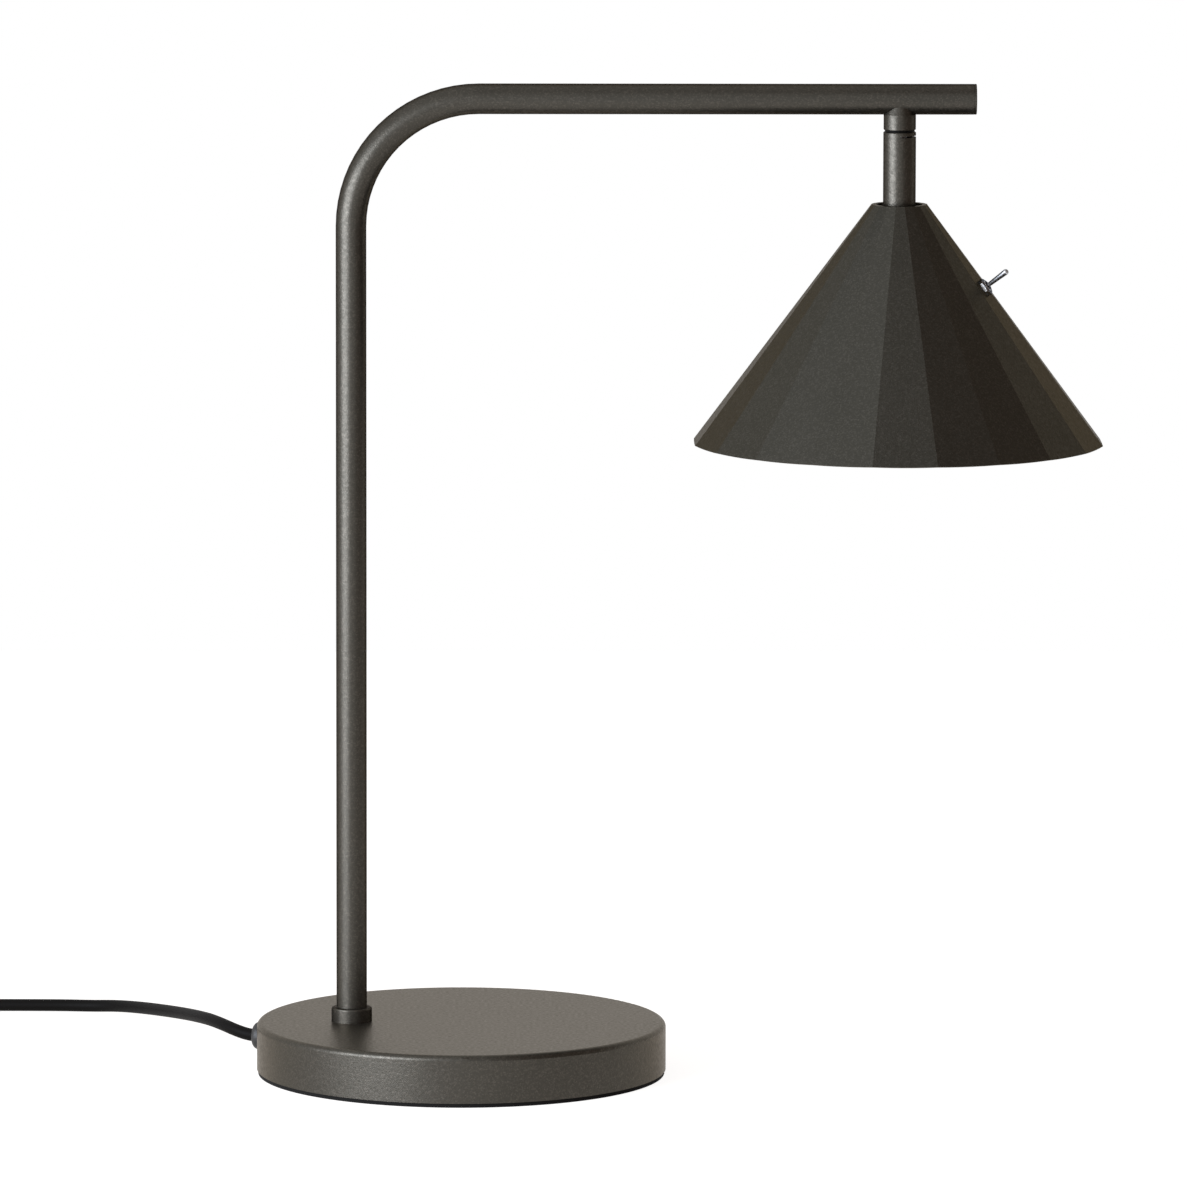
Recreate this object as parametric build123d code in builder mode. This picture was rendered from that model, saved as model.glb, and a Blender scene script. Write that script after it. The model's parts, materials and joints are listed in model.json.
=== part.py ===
from build123d import *
import math
import os

os.makedirs("parts", exist_ok=True)

# Desk lamp with a weighted disc base, one bent tube for stem and arm, and a faceted cone shade.
# Millimetres. The origin is the centre of the underside, +Z is up and the arm runs along +X.

# Base
base_diameter = 201.8
pad_thickness = 2.0
pad_inset = 0.6
shell_height = 23.5
shell_wall = 2.5
shell_top_thickness = 3.0
shell_edge_radius = 2.6
plate_thickness = 2.0
plate_clearance = 0.3
plate_screw_count = 3
plate_screw_circle = 132.0
plate_screw_diameter = 4.0
plate_screw_head = 8.0
plate_screw_length = 10.0
plate_boss_diameter = 14.0
weight_diameter = 164.0
weight_thickness = 12.5
weight_web = 5.5
nut_recess_diameter = 24.0

# Stem and arm
stem_offset = 54.1
tube_diameter = 15.0
tube_wall = 1.5
bend_radius = 62.5
arm_height = 482.0
arm_reach = 305.6
neck_reach = 268.1
arm_port_diameter = 9.0
end_cap_thickness = 1.2
end_cap_plug = 8.0
end_cap_seam = 0.25
collar_diameter = 20.0
collar_height = 7.0
collar_edge_radius = 0.8

# Hollow threaded fittings of the stem
nipple_diameter = 8.0
nipple_bore = 5.0
nipple_tail = 1.0
stem_bush_length = 15.0
stem_washer_diameter = 16.0
stem_washer_thickness = 1.5
stem_nut_across = 13.0
stem_nut_height = 4.0
nut_bevel_angle = 30.0

# Swivel under the arm
stub_diameter = 15.8
stub_drop = 15.0
stub_saddle_diameter = 13.5
stub_saddle_rise = 11.7
seam_chamfer = 0.4
friction_washer_thickness = 0.8
friction_washer_inset = 0.6
stud_engagement = 6.5
stud_tail = 1.5
neck_diameter = 16.0
neck_length = 52.0
neck_wall = 1.8
neck_top_recess = 4.0
neck_web = 5.0
neck_foot_web = 8.0
slit_depth = 2.2
slit_height = 0.75
spring_washer_thickness = 1.6
ring_nut_height = 4.0
ring_nut_slot = 1.6
stop_pin_diameter = 1.6
stop_lug_width = 2.1

# Shade
shade_facets = 20
shade_rim_width = 200.0
shade_top_width = 27.1
shade_height = 117.5
shade_top_below_arm = 51.5
shade_wall = 1.9
rim_bevel = 0.25
shade_trim = 2.0
spider_thickness = 2.0
spider_hub_diameter = 22.0
spider_arm_count = 4
spider_arm_width = 5.5
spider_tab_length = 14.0
spider_tab_thickness = 1.5

# Lampholder and bulb
holder_thread = 10.0
holder_nipple_bore = 6.0
holder_nipple_length = 19.0
holder_cap_diameter = 28.0
holder_cap_height = 12.0
holder_cap_wall = 2.0
holder_cap_top = 4.0
holder_body_diameter = 27.0
holder_body_height = 32.0
holder_skirt_diameter = 29.0
holder_skirt_height = 5.0
holder_edge = 0.8
holder_groove_count = 3
holder_groove_width = 1.6
holder_groove_depth = 0.7
holder_groove_pitch = 4.0
socket_depth = 24.0
screw_shell_diameter = 17.1
screw_shell_bore = 14.4
screw_shell_length = 22.0
contact_diameter = 5.0
bulb_cap_diameter = 13.9
bulb_cap_length = 18.0
bulb_cap_seat = 1.0
bulb_tip_diameter = 8.0
bulb_tip_height = 4.0
bulb_diameter = 45.0
bulb_length = 49.5
bulb_neck_diameter = 14.4
bulb_skin = 0.8

# Toggle switch in the shade wall, counted in facets from the arm's direction
switch_facet = -1
switch_below_top = 40.0
switch_body_width = 12.7
switch_body_depth = 6.9
switch_body_height = 10.0
switch_body_edge = 0.6
bushing_diameter = 6.0
bushing_bore = 3.6
bushing_height = 2.9
bushing_edge = 0.3
switch_washer_diameter = 8.8
switch_washer_thickness = 0.5
switch_nut_across = 8.0
switch_nut_height = 1.8
pivot_height = 1.4
pivot_pin_diameter = 0.8
lever_ball_diameter = 3.2
lever_length = 15.2
lever_root_diameter = 1.9
lever_tip_diameter = 2.9
lever_tilt = 12.5
terminal_count = 3
terminal_pitch = 4.7
terminal_width = 2.0
terminal_thickness = 0.8
terminal_length = 4.0
switch_lead_diameter = 3.0
switch_lead_rise = 24.0
switch_lead_port = 4.0

# Wiring inside the lamp
cable_diameter = 4.0
cable_base_bend = 5.0
cable_arm_bend = 8.0
cable_floor_gap = 0.4
block_length = 20.0
block_width = 16.0
block_height = 13.0
block_screw_diameter = 3.2
block_screw_head = 5.6
block_screw_sink = 4.0
block_screw_offset = 6.5
terminal_screw_diameter = 3.2
terminal_screw_length = 5.0
terminal_screw_pitch = 4.6
terminal_screw_start = -1.4
notch_margin = 4.0

# Cord gland
gland_azimuth = 161.5
gland_height = 12.2
gland_diameter = 14.0
gland_thread = 9.0
gland_reach = 7.8
gland_rim = 4.6
gland_mouth = 7.6
gland_nut_across = 12.0
gland_nut_height = 4.0
gland_tail = 2.0

# Mains cord on the table, and its plug
cord_diameter = 6.2
cord_floor_gap = 0.05
cord_straight = 6.0
bend_share = 0.45
coil_turns = 3
coil_radius = 48.0
coil_pitch = 6.75
coil_sides = 8
plug_diameter = 36.8
plug_length = 44.0
plug_face_length = 11.0
plug_edge_radius = 1.6
plug_waist_diameter = 23.0
plug_neck_diameter = 16.0
plug_notch_width = 6.0
plug_notch_depth = 2.6
plug_relief_diameter = 9.2
plug_relief_taper = 3.4
plug_relief_length = 20.0
plug_groove_count = 5
plug_groove_width = 1.5
plug_groove_depth = 0.8
plug_pin_diameter = 4.8
plug_pin_length = 19.0
plug_pin_spacing = 19.0

# Clearances
thread_clearance = 0.02
slide_clearance = 0.03
running_clearance = 0.05
hole_clearance = 0.2
weld_gap = 0.02

# Heights, radii and places that follow
base_radius = base_diameter / 2
base_top = pad_thickness + shell_height
shell_ceiling = base_top - shell_top_thickness
shell_inner_radius = base_radius - shell_wall
plate_top = pad_thickness + plate_thickness
weight_bottom = shell_ceiling - weight_thickness
nut_recess_top = shell_ceiling - weight_web
stem_nut_bottom = nut_recess_top - stem_washer_thickness - stem_nut_height
nipple_bottom = stem_nut_bottom - nipple_tail
nipple_radius = nipple_diameter / 2
stem_x = -stem_offset
neck_x = stem_x + neck_reach
arm_end = stem_x + arm_reach
tube_radius = tube_diameter / 2
tube_inner_radius = tube_radius - tube_wall
stub_bottom = arm_height - stub_drop
neck_radius = neck_diameter / 2
neck_bore_radius = neck_radius - neck_wall
neck_top = stub_bottom - friction_washer_thickness - running_clearance
neck_bottom = neck_top - neck_length
neck_web_top = neck_top - neck_top_recess
neck_web_bottom = neck_web_top - neck_web
spring_washer_top = neck_web_bottom - running_clearance
ring_nut_bottom = spring_washer_top - spring_washer_thickness - ring_nut_height
stud_bottom = ring_nut_bottom - stud_tail
cable_joint = stud_bottom - stud_tail
shade_top = arm_height - shade_top_below_arm
shade_rim = shade_top - shade_height
shade_blank = shade_rim - shade_trim
shade_slope = (shade_rim_width - shade_top_width) / 2 / shade_height
shade_lean = math.atan(shade_slope)
shade_wall_level = shade_wall / math.cos(shade_lean)
facet_step = 360.0 / shade_facets
spider_bottom = neck_bottom - spider_thickness
holder_cap_bottom = spider_bottom - holder_cap_height
holder_bottom = holder_cap_bottom - holder_body_height
holder_groove_middle = (holder_cap_bottom + holder_bottom + holder_skirt_height) / 2
socket_top = holder_bottom + socket_depth
bulb_top = holder_bottom - bulb_cap_seat
cable_radius = cable_diameter / 2
cable_height = plate_top + cable_radius + cable_floor_gap
cord_radius = cord_diameter / 2
cord_height = cord_radius + cord_floor_gap
gland_bore = cord_diameter + 2 * running_clearance
gland_nut_seat = math.sqrt(shell_inner_radius**2 - gland_nut_across**2 / 3)
gland_inner_end = gland_nut_seat - gland_nut_height - gland_tail

# Axes and working planes
STAND = (Align.CENTER, Align.CENTER, Align.MIN)
HANG = (Align.CENTER, Align.CENTER, Align.MAX)
UP = Vector(0, 0, 1)
outward = Vector(1, 0, 0).rotate(Axis.Z, gland_azimuth)
neck_axis = Axis((neck_x, 0, 0), (0, 0, 1))
neck_section = Plane(origin=(neck_x, 0, 0), x_dir=(1, 0, 0), z_dir=(0, -1, 0))
stop_pin_plane = Plane(origin=(neck_x, 0, neck_top - slit_depth), z_dir=(1, 0, 0))
wiring_plane = Plane(origin=(0, 0, 0), x_dir=outward, z_dir=UP)
gland_plane = Plane(origin=(0, 0, gland_height), x_dir=UP, z_dir=outward)
gland_axis = Axis((0, 0, gland_height), outward)
gland_section = Plane(origin=(0, 0, gland_height), x_dir=UP, z_dir=UP.cross(outward))
stem_in_wiring = wiring_plane.to_local_coords(Vector(stem_x, 0, 0))
block_along = stem_in_wiring.X
cable_start = wiring_plane.from_local_coords(Vector(block_along, block_width / 2, cable_height))


def save(piece, name):
    """Label a finished piece and write it to a file of its own."""
    piece.part.label = name
    export_step(piece.part, f"parts/{name}.step")


def outline(*points):
    """The face inside a closed outline of straight lines."""
    with BuildSketch() as shape:
        with BuildLine():
            Polyline(*points, close=True)
        make_face()
    return shape.sketch


def ring(diameter, bore, height, align=STAND):
    """A plain ring at the current location."""
    Cylinder(diameter / 2, height, align=align)
    Cylinder(bore / 2, height, align=align, mode=Mode.SUBTRACT)


def hexagon_nut(seat, across, bore, height):
    """A hexagon nut that stands on a plane, with its corners bevelled at both ends."""
    corner = across / math.sqrt(3)
    bevel = (corner - across / 2) * math.tan(math.radians(nut_bevel_angle))
    with BuildPart() as nut:
        with BuildSketch(Plane(origin=seat.origin, x_dir=seat.x_dir, z_dir=-seat.y_dir)):
            add(
                outline(
                    (bore / 2, 0),
                    (across / 2, 0),
                    (corner, bevel),
                    (corner, height - bevel),
                    (across / 2, height),
                    (bore / 2, height),
                )
            )
        revolve(axis=Axis(seat.origin, seat.z_dir))
        with BuildSketch(seat):
            RegularPolygon(across / 2, 6, major_radius=False, rotation=30)
        extrude(amount=height, mode=Mode.INTERSECT)
    return nut


def wiring_spot(along, across, height):
    """A place in the base, counted along and across the line from its centre to the gland."""
    return wiring_plane.location * Location((along, across, height))


def shade_half_width(height, inside=False):
    """Half the shade's width across its facets at a height."""
    half_width = shade_top_width / 2 + (shade_top - height) * shade_slope
    return half_width - shade_wall_level if inside else half_width


def facet_plane(azimuth, height):
    """Plane on the outside of a facet: x along the facet, y up its slope, z out of it."""
    middle = Vector(shade_half_width(height), 0, height).rotate(Axis.Z, azimuth)
    return Plane(
        origin=middle + Vector(neck_x, 0, 0),
        x_dir=Vector(0, 1, 0).rotate(Axis.Z, azimuth),
        z_dir=Vector(math.cos(shade_lean), 0, math.sin(shade_lean)).rotate(Axis.Z, azimuth),
    )


def bend_radii(points):
    """The largest radius that each corner of a cord's route leaves room for."""
    radii = []
    for before, corner, after in zip(points, points[1:], points[2:]):
        arriving = Vector(*corner) - Vector(*before)
        leaving = Vector(*after) - Vector(*corner)
        half_turn = math.radians(arriving.get_angle(leaving)) / 2
        radii.append(bend_share * min(arriving.length, leaving.length) / math.tan(half_turn))
    return radii


def cord_tube(points, name):
    """A round tube along a route of straight runs and tangent arcs."""
    radii = bend_radii(points)
    start = Vector(*points[0])
    with BuildPart() as tube:
        with BuildLine() as route:
            FilletPolyline(*points, radius=radii)
        with BuildSketch(Plane(origin=start, z_dir=Vector(*points[1]) - start)):
            Circle(cord_radius)
        sweep(path=route.line)
    plain_volume = math.pi * cord_radius**2 * route.wire().length
    print(name, "bend radii", [round(radius, 1) for radius in radii])
    print(name, "volume over section times length", round(tube.part.volume / plain_volume, 4))
    return tube


# Places on the shade's facets
switch_azimuth = switch_facet * facet_step
switch_seat = facet_plane(switch_azimuth, shade_top - switch_below_top)
switch_axis = Axis(switch_seat.origin, switch_seat.z_dir)
pivot_plane = Plane(
    origin=switch_seat.origin + switch_seat.z_dir * pivot_height,
    x_dir=switch_seat.x_dir,
    z_dir=switch_seat.y_dir,
)
lever_plane = Plane(
    origin=pivot_plane.origin,
    x_dir=switch_seat.y_dir,
    z_dir=switch_seat.z_dir.rotate(Axis((0, 0, 0), switch_seat.y_dir), -lever_tilt),
)
spider_reach = shade_half_width(neck_bottom, inside=True) - spider_tab_thickness / 2
spider_tab_planes = [
    facet_plane(360 / spider_arm_count * arm, neck_bottom - spider_thickness / 2).offset(-shade_wall)
    for arm in range(spider_arm_count)
]
lead_start = switch_seat.from_local_coords(
    Vector(0, terminal_width / 2, -shade_wall - switch_body_height - terminal_length / 2)
)
lead_top = lead_start + switch_seat.y_dir * switch_lead_rise
lead_radial = Vector(1, 0, 0).rotate(Axis.Z, switch_azimuth)
lead_port_plane = Plane(origin=(neck_x, 0, lead_top.Z), z_dir=lead_radial)
lead_end = lead_port_plane.origin + lead_radial * (holder_cap_diameter - holder_cap_wall) / 2
lead_points = [lead_start, lead_top, lead_end]
terminal_screw_spots = [
    wiring_spot(
        block_along + terminal_screw_start + terminal_screw_pitch * screw, 0, plate_top + block_height
    )
    for screw in range(terminal_count)
]

# The cord's route from the gland, as chosen points: the offset in plan from where it leaves the
# gland, and the height above the table.
cord_exit = outward * (base_radius + gland_reach)
cord_offsets = [
    (0.0, 0.0, gland_height),
    (outward.X * cord_straight, outward.Y * cord_straight, gland_height),
    (-12.0, 6.8, 13.4),
    (-17.8, 16.2, 14.2),
    (-24.5, 31.0, 13.6),
    (-31.5, 49.0, 12.0),
    (-38.6, 67.7, 10.3),
    (-47.2, 86.4, 8.5),
    (-55.8, 103.7, 6.8),
    (-64.4, 118.4, 5.3),
    (-73.5, 129.6, 4.15),
    (-84.5, 136.8, 3.45),
    (-98.5, 140.2, 3.2),
    (-118.0, 141.0, cord_height),
    (-140.0, 141.1, cord_height),
    (-165.0, 141.0, cord_height),
    (-189.5, 141.0, cord_height),
]
cord_points = [(cord_exit.X + east, cord_exit.Y + north, height) for east, north, height in cord_offsets]
coil_x = cord_points[-1][0] - cord_diameter
coil_y = cord_points[-1][1] + coil_radius

# Foot pad, base plate and screws
with BuildPart() as foot_pad:
    Cylinder(base_radius - pad_inset, pad_thickness, align=STAND)
save(foot_pad, "foot_pad")

with BuildPart() as base_plate:
    with Locations((0, 0, pad_thickness)):
        Cylinder(shell_inner_radius - plate_clearance, plate_thickness, align=STAND)
        with PolarLocations(plate_screw_circle / 2, plate_screw_count, start_angle=90):
            Cone(
                plate_screw_head / 2 + hole_clearance,
                plate_screw_diameter / 2 + hole_clearance,
                plate_thickness,
                align=STAND,
                mode=Mode.SUBTRACT,
            )
    with Locations(wiring_spot(block_along - block_screw_offset, 0, pad_thickness)):
        Cylinder(
            block_screw_diameter / 2 + thread_clearance,
            plate_thickness,
            align=STAND,
            mode=Mode.SUBTRACT,
        )
save(base_plate, "base_plate")

with BuildPart() as plate_screws:
    with Locations((0, 0, pad_thickness)):
        with PolarLocations(plate_screw_circle / 2, plate_screw_count, start_angle=90):
            Cone(plate_screw_head / 2, plate_screw_diameter / 2, plate_thickness, align=STAND)
            Cylinder(plate_screw_diameter / 2, plate_screw_length, align=STAND)
save(plate_screws, "plate_screws")

# Ballast disc, notched for the wiring and recessed for the stem nut
with BuildPart() as base_weight:
    with Locations((0, 0, weight_bottom)):
        Cylinder(weight_diameter / 2, weight_thickness, align=STAND)
        with PolarLocations(plate_screw_circle / 2, plate_screw_count, start_angle=90):
            Cylinder(plate_boss_diameter / 2, weight_bottom - plate_top, align=HANG)
    with Locations((0, 0, plate_top)):
        with PolarLocations(plate_screw_circle / 2, plate_screw_count, start_angle=90):
            Cylinder(
                plate_screw_diameter / 2 + thread_clearance,
                plate_screw_length,
                align=STAND,
                mode=Mode.SUBTRACT,
            )
    with Locations((stem_x, 0, weight_bottom)):
        Cylinder(nipple_radius + hole_clearance, weight_thickness, align=STAND, mode=Mode.SUBTRACT)
        Cylinder(
            nut_recess_diameter / 2,
            weight_thickness - weight_web,
            align=STAND,
            mode=Mode.SUBTRACT,
        )
    with Locations(wiring_spot(block_along - block_length / 2 - notch_margin, 0, weight_bottom)):
        Box(
            weight_diameter,
            block_width + notch_margin,
            weight_thickness,
            align=(Align.MIN, Align.CENTER, Align.MIN),
            mode=Mode.SUBTRACT,
        )
save(base_weight, "base_weight")

# Spun base shell, open below, with the stem hole and the gland hole
with BuildPart() as base_shell:
    with Locations((0, 0, pad_thickness)):
        Cylinder(base_radius, shell_height, align=STAND)
    fillet(base_shell.edges().group_by(Axis.Z)[-1], shell_edge_radius)
    with Locations((0, 0, pad_thickness)):
        Cylinder(
            shell_inner_radius,
            shell_height - shell_top_thickness,
            align=STAND,
            mode=Mode.SUBTRACT,
        )
    with Locations((stem_x, 0, shell_ceiling)):
        Cylinder(
            nipple_radius + hole_clearance,
            shell_top_thickness,
            align=STAND,
            mode=Mode.SUBTRACT,
        )
    with Locations(gland_plane.offset(base_radius)):
        Cylinder(gland_thread / 2 + hole_clearance, 3 * shell_wall, mode=Mode.SUBTRACT)
save(base_shell, "base_shell")

# Stem and arm, one bent tube, with the wiring port above the neck
with BuildPart() as stem_tube:
    with BuildLine() as tube_path:
        FilletPolyline(
            (stem_x, 0, base_top),
            (stem_x, 0, arm_height),
            (arm_end - end_cap_thickness, 0, arm_height),
            radius=bend_radius,
        )
    with BuildSketch(Plane(origin=(stem_x, 0, base_top), z_dir=UP)):
        Circle(tube_radius)
        Circle(tube_inner_radius, mode=Mode.SUBTRACT)
    sweep(path=tube_path.line)
    with Locations((neck_x, 0, arm_height)):
        Cylinder(arm_port_diameter / 2, tube_diameter, align=HANG, mode=Mode.SUBTRACT)
save(stem_tube, "stem_tube")

with BuildPart() as arm_end_cap:
    with Locations(Plane(origin=(arm_end - end_cap_thickness, 0, arm_height), z_dir=(1, 0, 0))):
        Cylinder(tube_radius, end_cap_thickness, align=STAND)
        Cylinder(tube_inner_radius - slide_clearance, end_cap_plug, align=HANG)
    rim_edges = arm_end_cap.edges().filter_by(GeomType.CIRCLE).sort_by(SortBy.RADIUS)[-2:]
    chamfer(rim_edges, end_cap_seam)
save(arm_end_cap, "arm_end_cap")

# Collar, threaded bush, nipple, washer and nut that hold the stem on the base
with BuildPart() as stem_collar:
    with Locations((stem_x, 0, base_top)):
        ring(collar_diameter, tube_diameter + 2 * slide_clearance, collar_height)
    collar_rim = stem_collar.edges().group_by(Axis.Z)[-1].sort_by(SortBy.RADIUS)[-1]
    fillet(collar_rim, collar_edge_radius)
save(stem_collar, "stem_collar")

with BuildPart() as stem_bush:
    with Locations((stem_x, 0, base_top)):
        ring(
            2 * (tube_inner_radius - slide_clearance),
            nipple_diameter + 2 * thread_clearance,
            stem_bush_length,
        )
save(stem_bush, "stem_bush")

with BuildPart() as stem_nipple:
    with Locations((stem_x, 0, nipple_bottom)):
        ring(nipple_diameter, nipple_bore, base_top + stem_bush_length - nipple_tail - nipple_bottom)
save(stem_nipple, "stem_nipple")

with BuildPart() as stem_washer:
    with Locations((stem_x, 0, nut_recess_top)):
        ring(
            stem_washer_diameter,
            nipple_diameter + 2 * hole_clearance,
            stem_washer_thickness,
            align=HANG,
        )
save(stem_washer, "stem_washer")

stem_nut = hexagon_nut(
    Plane(origin=(stem_x, 0, stem_nut_bottom), z_dir=UP),
    stem_nut_across,
    nipple_diameter + 2 * thread_clearance,
    stem_nut_height,
)
save(stem_nut, "stem_nut")

# Stub under the arm, coped to the tube
with BuildPart() as arm_stub:
    with BuildSketch(neck_section):
        add(
            outline(
                (nipple_radius + thread_clearance, stub_bottom),
                (stub_diameter / 2 - seam_chamfer, stub_bottom),
                (stub_diameter / 2, stub_bottom + seam_chamfer),
                (stub_diameter / 2, arm_height - tube_radius),
                (stub_saddle_diameter / 2, stub_bottom + stub_saddle_rise),
                (stub_saddle_diameter / 2, arm_height),
                (nipple_radius + thread_clearance, arm_height),
            )
        )
    revolve(axis=neck_axis)
    with Locations(Plane(origin=(neck_x, 0, arm_height), z_dir=(1, 0, 0))):
        Cylinder(tube_radius + weld_gap, 2 * stub_diameter, mode=Mode.SUBTRACT)
save(arm_stub, "arm_stub")

# Swivel: hollow stud, stop pin, friction washer, spring washer and slotted ring nut
with BuildPart() as swivel_stud:
    with Locations((neck_x, 0, stud_bottom)):
        ring(nipple_diameter, nipple_bore, stub_bottom + stud_engagement - stud_bottom)
    with Locations(stop_pin_plane):
        Cylinder(
            stop_pin_diameter / 2 + thread_clearance,
            nipple_diameter,
            align=STAND,
            mode=Mode.SUBTRACT,
        )
save(swivel_stud, "swivel_stud")

with BuildPart() as stop_pin:
    with Locations(stop_pin_plane.offset(nipple_bore / 2 + hole_clearance)):
        Cylinder(
            stop_pin_diameter / 2,
            neck_bore_radius - nipple_bore / 2 - 2 * hole_clearance,
            align=STAND,
        )
save(stop_pin, "stop_pin")

with BuildPart() as friction_washer:
    with Locations((neck_x, 0, stub_bottom)):
        ring(
            stub_diameter - 2 * friction_washer_inset,
            nipple_diameter + 2 * running_clearance,
            friction_washer_thickness,
            align=HANG,
        )
save(friction_washer, "friction_washer")

with BuildPart() as spring_washer:
    with Locations((neck_x, 0, spring_washer_top)):
        ring(
            2 * (neck_bore_radius - 2 * hole_clearance),
            nipple_diameter + 2 * running_clearance,
            spring_washer_thickness,
            align=HANG,
        )
save(spring_washer, "spring_washer")

with BuildPart() as ring_nut:
    with Locations((neck_x, 0, ring_nut_bottom)):
        ring(
            2 * (neck_bore_radius - 2 * hole_clearance),
            nipple_diameter + 2 * thread_clearance,
            ring_nut_height,
        )
        Box(
            neck_diameter,
            ring_nut_slot,
            ring_nut_slot,
            align=STAND,
            mode=Mode.SUBTRACT,
        )
save(ring_nut, "ring_nut")

# Neck sleeve that turns on the stud, with its stop lug and the half slit under its rim
with BuildPart() as neck_sleeve:
    with BuildSketch(neck_section):
        add(
            outline(
                (neck_bore_radius, neck_top),
                (neck_radius - seam_chamfer, neck_top),
                (neck_radius, neck_top - seam_chamfer),
                (neck_radius, neck_bottom),
                (holder_thread / 2 + thread_clearance, neck_bottom),
                (holder_thread / 2 + thread_clearance, neck_bottom + neck_foot_web),
                (neck_bore_radius, neck_bottom + neck_foot_web),
                (neck_bore_radius, neck_web_bottom),
                (nipple_radius + running_clearance, neck_web_bottom),
                (nipple_radius + running_clearance, neck_web_top),
                (neck_bore_radius, neck_web_top),
            )
        )
    revolve(axis=neck_axis)
    with BuildSketch(Plane.XY.offset(neck_web_top)):
        with Locations((neck_x, 0)):
            Circle(neck_radius - neck_wall / 2)
            Circle(nipple_radius + 2 * hole_clearance, mode=Mode.SUBTRACT)
            Rectangle(
                neck_radius,
                stop_lug_width,
                align=(Align.MAX, Align.CENTER),
                mode=Mode.INTERSECT,
            )
    extrude(amount=neck_top_recess - hole_clearance)
    with Locations((neck_x, 0, neck_top - slit_depth)):
        Box(
            neck_radius,
            neck_diameter,
            slit_height,
            align=(Align.MIN, Align.CENTER, Align.CENTER),
            mode=Mode.SUBTRACT,
        )
save(neck_sleeve, "neck_sleeve")

# Shade: a cone of flat facets, open above and below, its rim trimmed at a slight bevel
with BuildPart() as shade:
    for top, inside, action in (
        (shade_top, False, Mode.ADD),
        (shade_top + shade_trim, True, Mode.SUBTRACT),
    ):
        with BuildSketch(Plane(origin=(neck_x, 0, shade_blank), z_dir=UP)):
            RegularPolygon(
                shade_half_width(shade_blank, inside),
                shade_facets,
                major_radius=False,
                rotation=facet_step / 2,
            )
        extrude(amount=top - shade_blank, taper=math.degrees(shade_lean), mode=action)
    with BuildSketch(neck_section):
        add(
            outline(
                (0, shade_rim - rim_bevel * shade_rim_width / 2),
                (shade_rim_width, shade_rim + rim_bevel * shade_rim_width / 2),
                (shade_rim_width, shade_rim - shade_height),
                (0, shade_rim - shade_height),
            )
        )
    revolve(axis=neck_axis, mode=Mode.SUBTRACT)
    with Locations(switch_seat):
        Cylinder(
            bushing_diameter / 2 + running_clearance,
            4 * shade_wall,
            mode=Mode.SUBTRACT,
        )
save(shade, "shade")

# Spider that carries the shade on the neck
with BuildPart() as shade_spider:
    with BuildSketch(Plane(origin=(neck_x, 0, spider_bottom), z_dir=UP)):
        Circle(spider_hub_diameter / 2)
        with PolarLocations(0, spider_arm_count):
            Rectangle(spider_reach, spider_arm_width, align=(Align.MIN, Align.CENTER))
        Circle(holder_thread / 2 + hole_clearance, mode=Mode.SUBTRACT)
    extrude(amount=spider_thickness)
    with Locations(*spider_tab_planes):
        Box(spider_arm_width, spider_tab_length, spider_tab_thickness, align=HANG)
save(shade_spider, "shade_spider")

# Lampholder
with BuildPart() as holder_nipple:
    with Locations((neck_x, 0, neck_bottom + neck_foot_web - nipple_tail)):
        ring(holder_thread, holder_nipple_bore, holder_nipple_length, align=HANG)
save(holder_nipple, "holder_nipple")

with BuildPart() as holder_cap:
    with BuildSketch(neck_section):
        add(
            outline(
                (holder_thread / 2 + thread_clearance, spider_bottom),
                (holder_cap_diameter / 2 - holder_cap_wall, spider_bottom),
                (holder_cap_diameter / 2, spider_bottom - holder_cap_wall),
                (holder_cap_diameter / 2, holder_cap_bottom),
                (holder_cap_diameter / 2 - holder_cap_wall, holder_cap_bottom),
                (holder_cap_diameter / 2 - holder_cap_wall, spider_bottom - holder_cap_top),
                (holder_thread / 2 + thread_clearance, spider_bottom - holder_cap_top),
            )
        )
    revolve(axis=neck_axis)
    with Locations(lead_port_plane):
        Cylinder(switch_lead_port / 2, holder_cap_diameter, align=STAND, mode=Mode.SUBTRACT)
save(holder_cap, "holder_cap")

with BuildPart() as holder_body:
    with BuildSketch(neck_section):
        add(
            outline(
                (0, holder_cap_bottom),
                (holder_body_diameter / 2, holder_cap_bottom),
                (holder_body_diameter / 2, holder_bottom + holder_skirt_height),
                (holder_skirt_diameter / 2 - holder_edge, holder_bottom + holder_skirt_height),
                (holder_skirt_diameter / 2, holder_bottom + holder_skirt_height - holder_edge),
                (holder_skirt_diameter / 2, holder_bottom + holder_edge),
                (holder_skirt_diameter / 2 - holder_edge, holder_bottom),
                (screw_shell_diameter / 2 + slide_clearance, holder_bottom),
                (screw_shell_diameter / 2 + slide_clearance, socket_top),
                (0, socket_top),
            )
        )
    revolve(axis=neck_axis)
    with BuildSketch(neck_section):
        with Locations((holder_body_diameter / 2, holder_groove_middle)):
            with GridLocations(0, holder_groove_pitch, 1, holder_groove_count):
                Rectangle(2 * holder_groove_depth, holder_groove_width)
    revolve(axis=neck_axis, mode=Mode.SUBTRACT)
save(holder_body, "holder_body")

with BuildPart() as screw_shell:
    with Locations((neck_x, 0, socket_top)):
        ring(screw_shell_diameter, screw_shell_bore, screw_shell_length, align=HANG)
save(screw_shell, "screw_shell")

with BuildPart() as centre_contact:
    with Locations((neck_x, 0, socket_top)):
        Cylinder(
            contact_diameter / 2,
            socket_top - bulb_top - bulb_cap_length - bulb_tip_height,
            align=HANG,
        )
save(centre_contact, "centre_contact")

# Bulb
with BuildPart() as bulb_cap:
    with Locations((neck_x, 0, bulb_top)):
        Cylinder(bulb_cap_diameter / 2, bulb_cap_length, align=STAND)
save(bulb_cap, "bulb_cap")

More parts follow.
